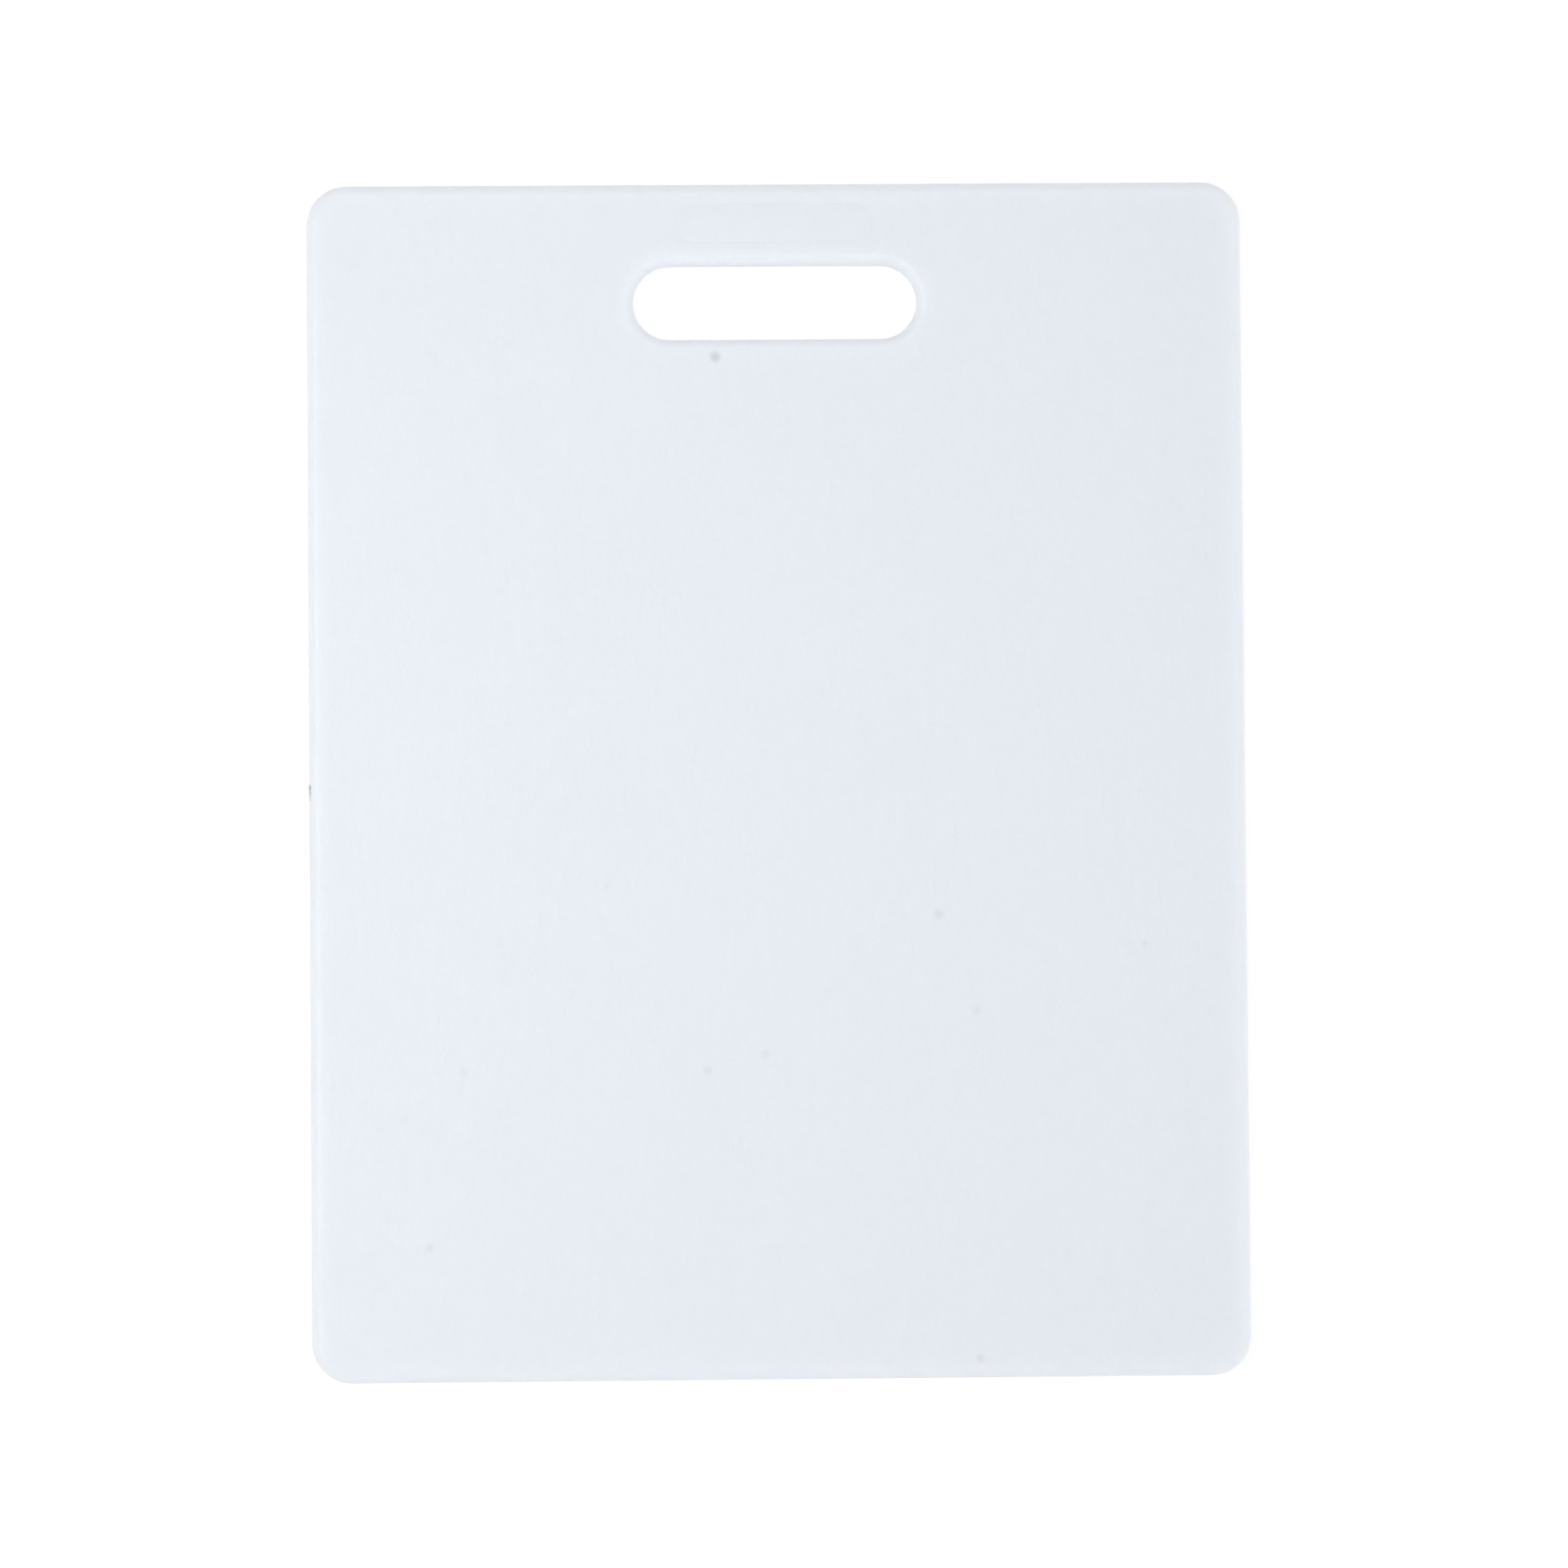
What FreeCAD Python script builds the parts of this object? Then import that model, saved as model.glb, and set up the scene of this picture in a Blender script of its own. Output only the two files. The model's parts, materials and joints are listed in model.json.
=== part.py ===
"""Moulded polyethylene cutting board with a hand slot, written as one STEP solid.

The board lies flat. The origin is the centre of its underside, +Z is up, +Y points to the end
with the hand slot, and X runs across the board. All sizes are in millimetres.
"""
import FreeCAD, Part
import math
import os

# Slab. Plan sizes are measured over the parting line, the widest place.
BOARD_WIDTH = 279.0  # X, nominal 11 in
BOARD_LENGTH = 356.0  # Y, nominal 14 in
BOARD_THICKNESS = 8.0  # Z
CORNER_RADIUS = 12.0  # the four corners in plan
EDGE_ROUND = 3.5  # rounding along the rim of both faces

# Hand slot: a stadium with full-radius ends, measured inside the parting line
SLOT_LENGTH = 84.5  # X
SLOT_WIDTH = 22.0  # Y
SLOT_FROM_END = 35.5  # from the board's end to the slot's middle
SLOT_ROUND = 3.0  # rounding along both mouths of the slot

# Parting line: the fine ridge where the two halves of the mould met
PARTING_PROUD = 0.12
PARTING_HEIGHT = 0.4

# Blank insert: the groove left on the cutting face by the edge of a plain mould insert
INSERT_LENGTH = 59.0  # X
INSERT_WIDTH = 12.0  # Y
INSERT_FROM_END = 12.0  # from the board's end to the insert's middle
INSERT_GROOVE_WIDTH = 0.6
INSERT_GROOVE_DEPTH = 0.06

# Gate scar: the trimmed stub on the -X edge where the mould was filled
GATE_LENGTH = 5.0  # Y
GATE_HEIGHT = 4.0  # Z
GATE_PROUD = 0.1  # beyond the wall beside the parting line
GATE_ROUND = 1.0  # its corners, seen from the side
GATE_Y = -3.0

MIDDLE_Z = BOARD_THICKNESS / 2
SLOT_Y = BOARD_LENGTH / 2 - SLOT_FROM_END
INSERT_Y = BOARD_LENGTH / 2 - INSERT_FROM_END
UP = FreeCAD.Vector(0, 0, 1)


def arc_edge(x, y, z, radius, start_degrees, end_degrees):
    circle = Part.Circle(FreeCAD.Vector(x, y, z), UP, radius)
    arc = Part.Arc(circle, math.radians(start_degrees), math.radians(end_degrees))
    return arc.toShape()


def rounded_block(width, length, radius, z, height):
    """A block centred on Z with its four upright corners rounded."""
    block = Part.makeBox(width, length, height, FreeCAD.Vector(-width / 2, -length / 2, z))
    upright = [edge for edge in block.Edges if abs(edge.Length - height) < 1e-6]
    return block.makeFillet(radius, upright)


def stadium_block(length, width, y, z, height):
    """A block with two straight sides along X and a half circle at each end."""
    radius = width / 2
    reach = length / 2 - radius
    ring = Part.Wire([
        Part.makeLine(FreeCAD.Vector(-reach, y - radius, z), FreeCAD.Vector(reach, y - radius, z)),
        arc_edge(reach, y, z, radius, -90, 90),
        Part.makeLine(FreeCAD.Vector(reach, y + radius, z), FreeCAD.Vector(-reach, y + radius, z)),
        arc_edge(-reach, y, z, radius, 90, 270),
    ])
    return Part.Face(ring).extrude(UP * height)


def rim_edges(solid, inside_slot):
    """The edges of both faces, round the slot or round the outline."""
    chosen = []
    for edge in solid.Edges:
        box = edge.BoundBox
        on_a_face = box.ZLength < 1e-6
        near_slot = abs(box.Center.x) < BOARD_WIDTH / 3 and abs(box.Center.y - SLOT_Y) < SLOT_WIDTH
        if on_a_face and near_slot == inside_slot:
            chosen.append(edge)
    return chosen


def make_slab():
    """The board up to its side walls, with the slot through it and every rim rounded."""
    slab = rounded_block(
        BOARD_WIDTH - 2 * PARTING_PROUD,
        BOARD_LENGTH - 2 * PARTING_PROUD,
        CORNER_RADIUS - PARTING_PROUD,
        0,
        BOARD_THICKNESS,
    )
    slot = stadium_block(
        SLOT_LENGTH + 2 * PARTING_PROUD, SLOT_WIDTH + 2 * PARTING_PROUD, SLOT_Y, 0, BOARD_THICKNESS
    )
    slab = slab.cut(slot)
    slab = slab.makeFillet(EDGE_ROUND, rim_edges(slab, inside_slot=False))
    return slab.makeFillet(SLOT_ROUND, rim_edges(slab, inside_slot=True))


def make_parting_line():
    """A thin plate at mid thickness that stands proud of the outer wall and the slot's wall."""
    low = MIDDLE_Z - PARTING_HEIGHT / 2
    plate = rounded_block(BOARD_WIDTH, BOARD_LENGTH, CORNER_RADIUS, low, PARTING_HEIGHT)
    slot = stadium_block(SLOT_LENGTH, SLOT_WIDTH, SLOT_Y, low, PARTING_HEIGHT)
    return plate.cut(slot)


def make_insert_groove():
    """The shallow stadium-shaped groove in the cutting face."""
    low = BOARD_THICKNESS - INSERT_GROOVE_DEPTH
    outer = stadium_block(INSERT_LENGTH, INSERT_WIDTH, INSERT_Y, low, 2 * INSERT_GROOVE_DEPTH)
    inner = stadium_block(
        INSERT_LENGTH - 2 * INSERT_GROOVE_WIDTH,
        INSERT_WIDTH - 2 * INSERT_GROOVE_WIDTH,
        INSERT_Y,
        low,
        2 * INSERT_GROOVE_DEPTH,
    )
    return outer.cut(inner)


def make_gate_scar():
    """The trimmed gate, standing out of the -X wall and rooted inside the slab."""
    root = 1.0
    wall_x = -BOARD_WIDTH / 2 + PARTING_PROUD
    corner = FreeCAD.Vector(wall_x - GATE_PROUD, GATE_Y - GATE_LENGTH / 2, MIDDLE_Z - GATE_HEIGHT / 2)
    stub = Part.makeBox(root + GATE_PROUD, GATE_LENGTH, GATE_HEIGHT, corner)
    along_x = [edge for edge in stub.Edges if edge.BoundBox.XLength > GATE_PROUD]
    return stub.makeFillet(GATE_ROUND, along_x)


def make_board():
    board = make_slab().fuse([make_parting_line(), make_gate_scar()])
    return board.cut(make_insert_groove()).removeSplitter()


os.makedirs("parts", exist_ok=True)
board = make_board()
board.Solids[0].exportStep("parts/board.step")
print("board: valid", board.isValid(), "solids", len(board.Solids), "volume", round(board.Volume), "mm3")
print("box", board.optimalBoundingBox())
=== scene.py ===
"""Looks of the moulded cutting board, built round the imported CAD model. All sizes are in metres."""
import json
import math

import bmesh
import bpy
from mathutils import Matrix, Vector, geometry, noise


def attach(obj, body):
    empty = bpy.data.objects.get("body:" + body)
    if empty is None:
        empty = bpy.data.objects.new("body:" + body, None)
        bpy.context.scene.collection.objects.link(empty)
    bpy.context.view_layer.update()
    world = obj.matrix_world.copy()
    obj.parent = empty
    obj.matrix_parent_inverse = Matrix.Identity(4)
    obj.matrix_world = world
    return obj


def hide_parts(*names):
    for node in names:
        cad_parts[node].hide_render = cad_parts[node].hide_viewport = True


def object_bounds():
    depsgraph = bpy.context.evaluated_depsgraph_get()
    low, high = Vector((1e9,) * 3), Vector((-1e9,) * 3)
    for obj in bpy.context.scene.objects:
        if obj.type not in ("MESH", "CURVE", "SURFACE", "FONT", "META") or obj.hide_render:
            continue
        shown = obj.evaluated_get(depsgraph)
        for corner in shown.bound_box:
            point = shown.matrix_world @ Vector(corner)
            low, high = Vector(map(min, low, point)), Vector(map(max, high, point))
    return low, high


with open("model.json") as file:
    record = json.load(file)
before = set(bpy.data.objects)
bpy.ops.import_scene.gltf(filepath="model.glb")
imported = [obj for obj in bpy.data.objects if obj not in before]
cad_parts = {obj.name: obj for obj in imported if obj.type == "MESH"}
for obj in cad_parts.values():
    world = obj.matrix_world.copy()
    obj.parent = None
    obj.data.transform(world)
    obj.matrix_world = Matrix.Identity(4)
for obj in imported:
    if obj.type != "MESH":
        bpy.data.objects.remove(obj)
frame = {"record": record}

# ---------------------------------------------------------------- the CAD frame
CAD_LOW, CAD_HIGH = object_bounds()
MOUNTS = {mount["name"]: Vector(mount["pos_m"]) for mount in frame["record"]["mounts"]}
HALF_WIDTH = CAD_HIGH.x  # over the parting line
HALF_LENGTH = CAD_HIGH.y
THICKNESS = CAD_HIGH.z
MIDDLE_Z = THICKNESS / 2
SLOT_CENTRE = MOUNTS["hang_slot"].xy

# ---------------------------------------------------------------- the board's own sizes
CORNER_RADIUS = 0.012
EDGE_ROUND = 0.0035
SLOT_LENGTH = 0.0845
SLOT_WIDTH = 0.022
SLOT_ROUND = 0.003
PARTING_PROUD = 0.00012
PARTING_HEIGHT = 0.0004
INSERT_LENGTH = 0.059
INSERT_WIDTH = 0.012
INSERT_FROM_END = 0.012
INSERT_GROOVE_WIDTH = 0.0006
INSERT_GROOVE_DEPTH = 0.00006
GATE_LENGTH = 0.005
GATE_HEIGHT = 0.004
GATE_PROUD = 0.0001
GATE_Y = -0.003
GATE_WALL_X = -HALF_WIDTH + PARTING_PROUD  # the wall that it stands on
INSERT_CENTRE = Vector((0, HALF_LENGTH - INSERT_FROM_END))

# Darker blots on the gate scar
SCAR_DARK_INWARDS = 0.001  # from the board's side onto the rounded rim
SCAR_DARK_SPREAD = 0.0008  # above and below the scar
SCAR_DARK_FADE = 0.0003  # half the width of its soft edge
SCAR_DARK_SWAY = Vector((0, 0.0008, 0.0008))  # how far its outline wanders

# ---------------------------------------------------------------- mesh density
SIDE_STEP = 0.002  # along straight sides
GATE_STEP = 0.0002  # along the side, round the gate scar
FACE_STEP = 0.004  # grid on the flat faces
FACE_BORDER = 0.0012  # a flat ring beside each rim, so that the rim's shading ends there
ROUND_STEPS = 14  # over each rounded rim
CORNER_STEPS = 22  # round each corner of the board
SLOT_END_STEPS = 30  # round each quarter of the ends of the slot and of the insert

# Specks in the plastic of the cutting face: X, Y, radius, darkness
SPECKS = [
    (-0.0178, 0.1260, 0.0024, 0.19),
    (0.0474, -0.0403, 0.0022, 0.09),
    (0.0586, -0.1720, 0.0021, 0.075),
    (-0.0044, -0.0813, 0.0021, 0.06),
    (-0.0216, -0.0859, 0.0021, 0.065),
    (-0.1041, -0.1377, 0.0021, 0.06),
    (0.0584, -0.0689, 0.0022, 0.05),
    (0.1085, -0.0494, 0.0015, 0.045),
    (-0.0939, -0.0860, 0.0023, 0.04),
    (-0.0510, -0.0307, 0.0019, 0.03),
]


# ---------------------------------------------------------------- plan outlines
class Outline:
    """A rounded rectangle in plan, as points with outward normals, anticlockwise from +X."""

    def __init__(self, length_x, length_y, radius, centre, arc_steps):
        self.half = Vector((length_x, length_y)) / 2
        self.radius = radius
        self.centre = Vector(centre)
        self.arc_steps = arc_steps
        self.points = []
        self.normals = []
        for quarter in range(4):
            self.add_arc(quarter)
            self.add_side(quarter)

    def arc_centre(self, quarter):
        sign_x, sign_y = ((1, 1), (-1, 1), (-1, -1), (1, -1))[quarter % 4]
        reach = self.half - Vector((self.radius, self.radius))
        return self.centre + Vector((sign_x * reach.x, sign_y * reach.y))

    def add_arc(self, quarter):
        for step in range(self.arc_steps + 1):
            angle = (quarter + step / self.arc_steps) * math.pi / 2
            normal = Vector((math.cos(angle), math.sin(angle)))
            self.points.append(self.arc_centre(quarter) + normal * self.radius)
            self.normals.append(normal)

    def add_side(self, quarter):
        """The straight side between this quarter's arc and the next one's."""
        normal = self.normals[-1]
        start = self.points[-1]
        run = self.arc_centre(quarter + 1) - self.arc_centre(quarter)
        if run.length < 1e-7:
            self.points.pop()  # a half circle: the next arc starts at this point
            self.normals.pop()
            return
        for share in self.side_shares(start, run):
            self.points.append(start + run * share)
            self.normals.append(normal)

    def side_shares(self, start, run):
        """Shares of the run, evenly spaced, and close together where the gate scar is."""
        count = round(run.length / SIDE_STEP)
        shares = [step / count for step in range(1, count)]
        is_gate_side = run.y < -HALF_LENGTH and start.x < 0
        if is_gate_side:
            gate = (GATE_Y - start.y) / run.y
            reach = GATE_LENGTH * 0.7 / run.length
            shares = [share for share in shares if abs(share - gate) > reach]
            fine = round(2 * reach * run.length / GATE_STEP)
            shares += [gate + reach * (2 * step / fine - 1) for step in range(fine + 1)]
        return sorted(shares)

    def distance(self, point):
        """Signed distance from the outline in plan, negative inside."""
        offset = point - self.centre
        beyond_x = abs(offset.x) - (self.half.x - self.radius)
        beyond_y = abs(offset.y) - (self.half.y - self.radius)
        outside = Vector((max(beyond_x, 0), max(beyond_y, 0))).length
        return outside + min(max(beyond_x, beyond_y), 0) - self.radius

    def ring(self, mesh, offset, z):
        """A ring of vertices at this offset outwards from the outline."""
        return [
            mesh.verts.new((*(point + normal * offset), z))
            for point, normal in zip(self.points, self.normals)
        ]


def join_rings(mesh, rings):
    for upper, lower in zip(rings, rings[1:]):
        for here in range(len(upper)):
            after = (here + 1) % len(upper)
            mesh.faces.new((upper[here], lower[here], lower[after], upper[after]))


# ---------------------------------------------------------------- the board's mesh
def rim_section(radius):
    """The rim from the upper face to the lower one, as (distance into the board, Z)."""
    upper = []
    for step in range(ROUND_STEPS + 1):
        angle = step / ROUND_STEPS * math.pi / 2
        depth = PARTING_PROUD + radius * (1 - math.sin(angle))
        upper.append((depth, THICKNESS - radius * (1 - math.cos(angle))))
    upper.append((PARTING_PROUD, MIDDLE_Z + PARTING_HEIGHT / 2))  # foot of the parting line
    upper.append((PARTING_PROUD / 5, MIDDLE_Z + PARTING_HEIGHT / 4))  # its shoulder
    lower = [(depth, THICKNESS - z) for depth, z in reversed(upper)]
    return upper + [(0, MIDDLE_Z)] + lower


def add_rim(mesh, outline, radius, inwards):
    """The rounded rim with its parting line. Returns the rings at the upper and lower face."""
    rings = [outline.ring(mesh, inwards * depth, z) for depth, z in rim_section(radius)]
    join_rings(mesh, rings)
    return rings[0], rings[-1]


def add_face_border(mesh, outline, ring, offset, z):
    """The flat ring beside a rim. Returns its far edge."""
    border = outline.ring(mesh, offset, z)
    join_rings(mesh, [ring, border])
    return border


def add_groove(mesh, outline):
    """The groove round the blank insert. Returns its outer and inner ring."""
    half_section = [(0, 0), (0.12, 0.25), (0.3, 0.85)]  # shares of its width and depth
    section = half_section + [(0.5, 1)] + [(1 - across, deep) for across, deep in reversed(half_section)]
    rings = [
        outline.ring(mesh, -across * INSERT_GROOVE_WIDTH, THICKNESS - deep * INSERT_GROOVE_DEPTH)
        for across, deep in section
    ]
    join_rings(mesh, rings)
    return rings[0], rings[-1]


def face_grid(spacing):
    """A square grid of points in plan over the whole board."""
    columns = math.ceil(HALF_WIDTH / spacing)
    rows = math.ceil(HALF_LENGTH / spacing)
    return [
        Vector((column * spacing, row * spacing))
        for row in range(-rows, rows + 1)
        for column in range(-columns, columns + 1)
    ]


def ring_edges(rings):
    """The edges of these rings, as pairs of places in one list of all their vertices."""
    edges = []
    first = 0
    for ring in rings:
        count = len(ring)
        edges += [(first + here, first + (here + 1) % count) for here in range(count)]
        first += count
    return edges


def fill_flat(mesh, z, rings, is_open):
    """Fills the flat face between these rings, leaving out the places where is_open says so."""
    clearance = FACE_STEP * 0.55  # between the rings and the nearest grid points
    grid = [point for point in face_grid(FACE_STEP) if not is_open(point, clearance)]
    known = [vertex for ring in rings for vertex in ring]
    flat = [vertex.co.xy for vertex in known] + grid
    known += [mesh.verts.new((point.x, point.y, z)) for point in grid]
    points, _, triangles, sources, _, _ = geometry.delaunay_2d_cdt(flat, ring_edges(rings), [], 0, 1e-9)
    made = []
    for triangle in triangles:
        middle = sum((points[corner] for corner in triangle), Vector((0, 0))) / 3
        if not is_open(middle, 0):
            made.append(mesh.faces.new([known[sources[corner][0]] for corner in triangle]))
            made[-1].normal_update()
    bmesh.ops.join_triangles(mesh, faces=made, angle_face_threshold=0.1, angle_shape_threshold=0.7)


def push_out_gate(mesh):
    """Presses the gate scar out of the -X wall: a stub with sloping sides and a torn, rippled top."""
    slope = 0.0003
    ripple = 0.0003
    ripples_per_metre = 1400
    top_x = GATE_WALL_X - GATE_PROUD
    for vertex in mesh.verts:
        is_on_side = top_x < vertex.co.x < -HALF_WIDTH + EDGE_ROUND / 2
        if not is_on_side:
            continue
        beyond_y = abs(vertex.co.y - GATE_Y) - GATE_LENGTH / 2
        beyond_z = abs(vertex.co.z - MIDDLE_Z) - GATE_HEIGHT / 2
        share = min(max(-max(beyond_y, beyond_z) / slope, 0), 1)
        torn_x = top_x + ripple * abs(noise.noise(vertex.co * ripples_per_metre))
        vertex.co.x += (torn_x - vertex.co.x) * share


def board_outlines():
    """The outlines of the board and of the slot, over the parting line, and of the insert."""
    outer = Outline(2 * HALF_WIDTH, 2 * HALF_LENGTH, CORNER_RADIUS, (0, 0), CORNER_STEPS)
    slot = Outline(SLOT_LENGTH, SLOT_WIDTH, SLOT_WIDTH / 2, SLOT_CENTRE, SLOT_END_STEPS)
    insert = Outline(INSERT_LENGTH, INSERT_WIDTH, INSERT_WIDTH / 2, INSERT_CENTRE, SLOT_END_STEPS)
    return outer, slot, insert


def build_board_mesh():
    """The whole board as one closed mesh."""
    outer, slot, insert = board_outlines()
    outer_border = -(EDGE_ROUND + PARTING_PROUD + FACE_BORDER)
    slot_border = SLOT_ROUND + PARTING_PROUD + FACE_BORDER

    def outside_face(point, margin):
        return (
            outer.distance(point) > outer_border - margin
            or slot.distance(point) < slot_border + margin
        )

    def outside_cutting_face(point, margin):
        in_groove = -INSERT_GROOVE_WIDTH - margin < insert.distance(point) < margin
        return outside_face(point, margin) or in_groove

    mesh = bmesh.new()
    outer_rings = add_rim(mesh, outer, EDGE_ROUND, -1)
    slot_rings = add_rim(mesh, slot, SLOT_ROUND, 1)
    groove_rings = add_groove(mesh, insert)
    for side, (z, is_open) in enumerate(((THICKNESS, outside_cutting_face), (0, outside_face))):
        rings = [
            add_face_border(mesh, outer, outer_rings[side], outer_border, z),
            add_face_border(mesh, slot, slot_rings[side], slot_border, z),
        ]
        if is_open is outside_cutting_face:
            rings += groove_rings
        fill_flat(mesh, z, rings, is_open)
    push_out_gate(mesh)
    bmesh.ops.recalc_face_normals(mesh, faces=mesh.faces)
    return mesh


def build_board():
    mesh = build_board_mesh()
    data = bpy.data.meshes.new("board_body")
    mesh.to_mesh(data)
    mesh.free()
    data.shade_smooth()
    data.materials.append(board_material())
    board = bpy.data.objects.new("board_body", data)
    bpy.context.scene.collection.objects.link(board)
    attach(board, "root")
    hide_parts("board")


# ---------------------------------------------------------------- materials
class Nodes:
    """A short way to fill the node tree of a new material or world."""

    def __init__(self, owner):
        owner.use_nodes = True
        self.owner = owner
        self.tree = owner.node_tree
        self.tree.nodes.clear()

    def add(self, kind, settings=None, **inputs):
        """A new node, with its settings, and with inputs by name (an underscore for each space)."""
        node = self.tree.nodes.new(kind)
        for name, value in (settings or {}).items():
            setattr(node, name, value)
        for name, value in inputs.items():
            self.set(node.inputs[name.replace("_", " ")], value)
        return node

    def set(self, socket, value):
        """Links the socket to another node's output, or gives it a fixed value."""
        if isinstance(value, bpy.types.NodeSocket):
            self.tree.links.new(value, socket)
        else:
            socket.default_value = value

    def maths(self, operation, first, second=0.0, third=0.0):
        node = self.tree.nodes.new("ShaderNodeMath")
        node.operation = operation
        for socket, value in zip(node.inputs, (first, second, third)):
            self.set(socket, value)
        return node.outputs[0]

    def ramp(self, value, start, end, low, high):
        """low up to the start and high past the end, with a smooth change in between."""
        node = self.add("ShaderNodeMapRange", {"interpolation_type": "SMOOTHSTEP"}, Value=value)
        for name, number in (("From Min", start), ("From Max", end), ("To Min", low), ("To Max", high)):
            node.inputs[name].default_value = number
        return node.outputs[0]

    def noise(self, coordinates, scale, detail=2.0, stretch=(1, 1, 1)):
        """Noise of about 0.5, with features about 1 / scale metres wide."""
        mapping = self.add("ShaderNodeMapping", Vector=coordinates)
        mapping.inputs["Scale"].default_value = stretch
        texture = self.add("ShaderNodeTexNoise", Scale=scale, Detail=detail)
        self.set(texture.inputs["Vector"], mapping.outputs[0])
        return texture.outputs[0]


def unsteady(nodes, place, sway):
    """The place, moved a little this way and that, so that a mark drawn with it is uneven."""
    wobble = nodes.add("ShaderNodeTexNoise", Scale=900.0, Detail=1.0, Vector=place)
    shift = nodes.add("ShaderNodeVectorMath", {"operation": "MULTIPLY_ADD"})
    nodes.set(shift.inputs[0], wobble.outputs["Color"])
    shift.inputs[1].default_value = sway
    shift.inputs[2].default_value = -sway / 2
    moved = nodes.add("ShaderNodeVectorMath", {"operation": "ADD"})
    nodes.set(moved.inputs[0], shift.outputs[0])
    nodes.set(moved.inputs[1], place)
    return moved.outputs[0]


def speck_mask(nodes, place):
    """1 on clean plastic, less in the specks; each is a soft blot with an uneven edge."""
    sway = Vector((0.0007, 0.0007, 0))
    core = 0.1  # the darkest part, as a share of the radius
    place = unsteady(nodes, place, sway)
    clean = 1.0
    for x, y, radius, darkness in SPECKS:
        gap = nodes.add("ShaderNodeVectorMath", {"operation": "DISTANCE"})
        nodes.set(gap.inputs[0], place)
        gap.inputs[1].default_value = (x, y, THICKNESS)
        spot = nodes.ramp(gap.outputs["Value"], radius * core, radius, 1 - darkness, 1)
        clean = nodes.maths("MULTIPLY", spot, clean)
    return clean


def gate_scar_darkening(nodes, place):
    """1 on plain plastic, less in darker blots on the torn gate scar, and least at its +Y end."""
    blots = nodes.ramp(nodes.noise(place, 1100.0, 3.0), 0.35, 0.65, 0.5, 1.25)
    x, y, z = nodes.add("ShaderNodeSeparateXYZ", Vector=unsteady(nodes, place, SCAR_DARK_SWAY)).outputs
    inwards = nodes.maths("ADD", x, HALF_WIDTH)
    along = nodes.maths("ABSOLUTE", nodes.maths("SUBTRACT", y, GATE_Y))
    upright = nodes.maths("ABSOLUTE", nodes.maths("SUBTRACT", z, MIDDLE_Z))
    # the scar gets darker from its -Y end to its +Y end
    scar_darkness = nodes.ramp(y, GATE_Y - GATE_LENGTH / 2, GATE_Y + GATE_LENGTH / 2, 0.16, 0.37)
    scar_darkness = nodes.maths("MULTIPLY", scar_darkness, blots)
    for distance, reach in (
        (inwards, SCAR_DARK_INWARDS),
        (along, GATE_LENGTH / 2),
        (upright, GATE_HEIGHT / 2 + SCAR_DARK_SPREAD),
    ):
        within = nodes.ramp(distance, reach - SCAR_DARK_FADE, reach + SCAR_DARK_FADE, 1, 0)
        scar_darkness = nodes.maths("MULTIPLY", scar_darkness, within)
    return nodes.maths("SUBTRACT", 1.0, scar_darkness)


def moulded_relief(nodes, place):
    """The moulded face texture as a chain of bumps: fine pebble, short grain along Y, slow waves."""
    pebble = nodes.noise(place, 1300.0, 2.0)
    grain = nodes.noise(place, 1.0, 2.0, (430, 190, 430))
    waves = nodes.noise(place, 14.0, 1.0)
    chain = nodes.add("ShaderNodeBump", Height=pebble, Distance=0.0001)
    chain = nodes.add("ShaderNodeBump", Height=grain, Distance=0.0003, Normal=chain.outputs[0])
    chain = nodes.add("ShaderNodeBump", Height=waves, Distance=0.0002, Normal=chain.outputs[0])
    return chain.outputs[0]


def plastic_colour(nodes, place):
    """Bluish white with faint clouds, the specks and darker blots on the gate scar."""
    bluish_white = (0.769, 0.8, 0.843, 1)
    cloud = nodes.ramp(nodes.noise(place, 22.0, 3.0), 0.25, 0.75, 0.994, 1.0)
    marks = nodes.maths("MULTIPLY", speck_mask(nodes, place), gate_scar_darkening(nodes, place))
    tint = nodes.add("ShaderNodeMix", {"data_type": "RGBA", "blend_type": "MULTIPLY"})
    tint.inputs["Factor"].default_value = 1
    tint.inputs["A"].default_value = bluish_white
    nodes.set(tint.inputs["B"], nodes.maths("MULTIPLY", cloud, marks))
    return tint.outputs["Result"]


def board_material():
    """White polyethylene: satin, slightly translucent, with a moulded texture."""
    nodes = Nodes(bpy.data.materials.new("white_polyethylene"))
    place = nodes.add("ShaderNodeTexCoord").outputs["Object"]
    plastic = nodes.add("ShaderNodeBsdfPrincipled", IOR=1.5)
    plastic.subsurface_method = "RANDOM_WALK"
    plastic.inputs["Subsurface Weight"].default_value = 1.0
    plastic.inputs["Subsurface Radius"].default_value = (1.2, 1.1, 1.05)
    plastic.inputs["Subsurface Scale"].default_value = 0.004
    nodes.set(plastic.inputs["Base Color"], plastic_colour(nodes, place))
    nodes.set(plastic.inputs["Roughness"], nodes.ramp(nodes.noise(place, 45.0, 4.0), 0.3, 0.7, 0.4, 0.48))
    nodes.set(plastic.inputs["Normal"], moulded_relief(nodes, place))
    output = nodes.add("ShaderNodeOutputMaterial")
    nodes.set(output.inputs["Surface"], plastic.outputs[0])
    return nodes.owner


def floor_material():
    """A plain white studio table, lit through from below so that it stays nearly white."""
    nodes = Nodes(bpy.data.materials.new("studio_table"))
    lit = nodes.add("ShaderNodeBsdfDiffuse", Color=(0.3, 0.3, 0.3, 1))
    glow = nodes.add("ShaderNodeEmission", Strength=0.733)
    both = nodes.add("ShaderNodeAddShader")
    nodes.set(both.inputs[0], lit.outputs[0])
    nodes.set(both.inputs[1], glow.outputs[0])
    output = nodes.add("ShaderNodeOutputMaterial")
    nodes.set(output.inputs["Surface"], both.outputs[0])
    return nodes.owner


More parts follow.
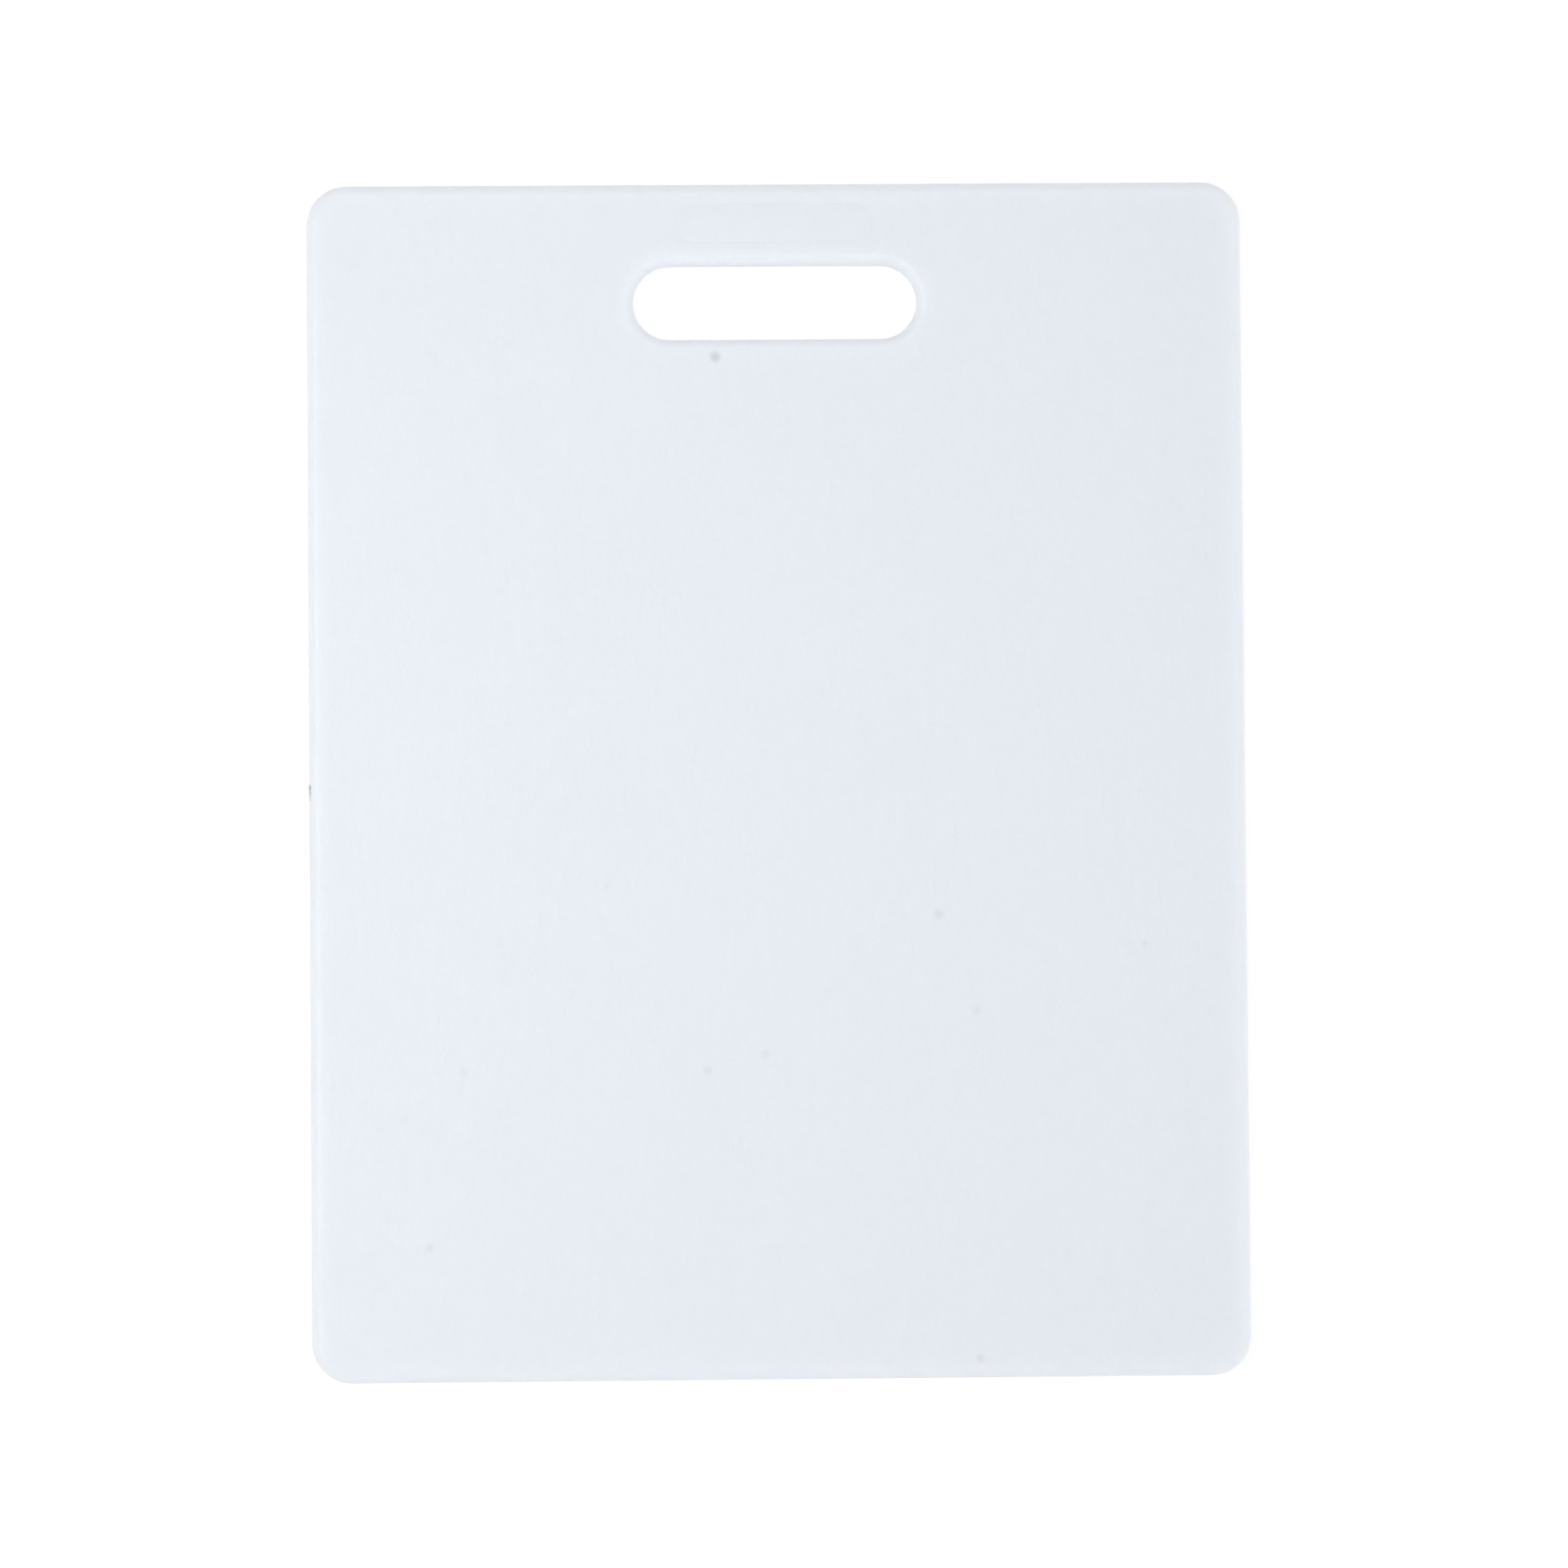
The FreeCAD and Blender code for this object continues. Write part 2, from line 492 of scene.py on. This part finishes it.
# ---------------------------------------------------------------- the studio
def build_floor():
    half = 6.0
    data = bpy.data.meshes.new("studio_floor")
    corners = [(-half, -half, 0), (half, -half, 0), (half, half, 0), (-half, half, 0)]
    data.from_pydata(corners, [], [(0, 1, 2, 3)])
    data.materials.append(floor_material())
    floor = bpy.data.objects.new("studio_floor", data)
    bpy.context.scene.collection.objects.link(floor)


def build_world():
    """A pale backdrop all round, which fades to a dim ceiling overhead."""
    nodes = Nodes(bpy.data.worlds.new("studio_world"))
    direction = nodes.add("ShaderNodeTexCoord").outputs["Generated"]
    height = nodes.add("ShaderNodeSeparateXYZ", Vector=direction).outputs["Z"]
    strength = nodes.ramp(height, 0.15, 0.45, 0.76, 0.1)
    background = nodes.add("ShaderNodeBackground", Color=(1, 1, 1, 1), Strength=strength)
    output = nodes.add("ShaderNodeOutputWorld")
    nodes.set(output.inputs["Surface"], background.outputs[0])
    bpy.context.scene.world = nodes.owner
    bpy.context.scene.view_settings.view_transform = "Standard"


def softbox(name, place, width, height, power):
    """A rectangular soft light that faces the board and stays out of the camera's sight."""
    light = bpy.data.lights.new(name, "AREA")
    light.shape = "RECTANGLE"
    light.size, light.size_y = width, height
    light.energy = power
    lamp = bpy.data.objects.new(name, light)
    lamp.location = place
    lamp.rotation_euler = (-Vector(place)).to_track_quat("-Z", "Y").to_euler()
    lamp.visible_camera = False
    bpy.context.scene.collection.objects.link(lamp)
    return lamp


def build_lights():
    """Soft light from above, stronger on the left, and low walls of light that lift the rims."""
    softbox("softbox_above", (0, 0, 1.8), 1.6, 1.6, 11)
    softbox("softbox_high_left", (-0.9, 0, 1.3), 0.8, 0.8, 11)
    softbox("softbox_high_back", (0, 0.9, 1.3), 0.8, 0.8, 2.2)
    walls = [
        softbox("softbox_wall_right", (2, 0, 0.85), 1.2, 3.0, 24.5),
        softbox("softbox_wall_front", (0, -2, 0.85), 3.0, 1.2, 9.2),
    ]
    for wall in walls:
        wall.visible_glossy = False  # no glare on the face in a low view


def build_camera():
    """Almost straight above the board, with the hand slot at the top of the picture."""
    lens = 85
    distance = 1.103
    aim = Vector((0.0017, -0.0012, MIDDLE_Z))
    roll, tilt, lean = (math.radians(angle) for angle in (-0.43, 1.18, -0.86))
    camera = bpy.data.cameras.new("camera")
    camera.lens = lens
    camera.sensor_width = 36
    holder = bpy.data.objects.new("camera", camera)
    turn = Matrix.Rotation(roll, 4, "Z") @ Matrix.Rotation(tilt, 4, "X") @ Matrix.Rotation(lean, 4, "Y")
    holder.matrix_world = Matrix.Translation(aim) @ turn @ Matrix.Translation((0, 0, distance))
    bpy.context.scene.collection.objects.link(holder)
    bpy.context.scene.camera = holder


build_board()
build_floor()
build_world()
build_lights()
build_camera()
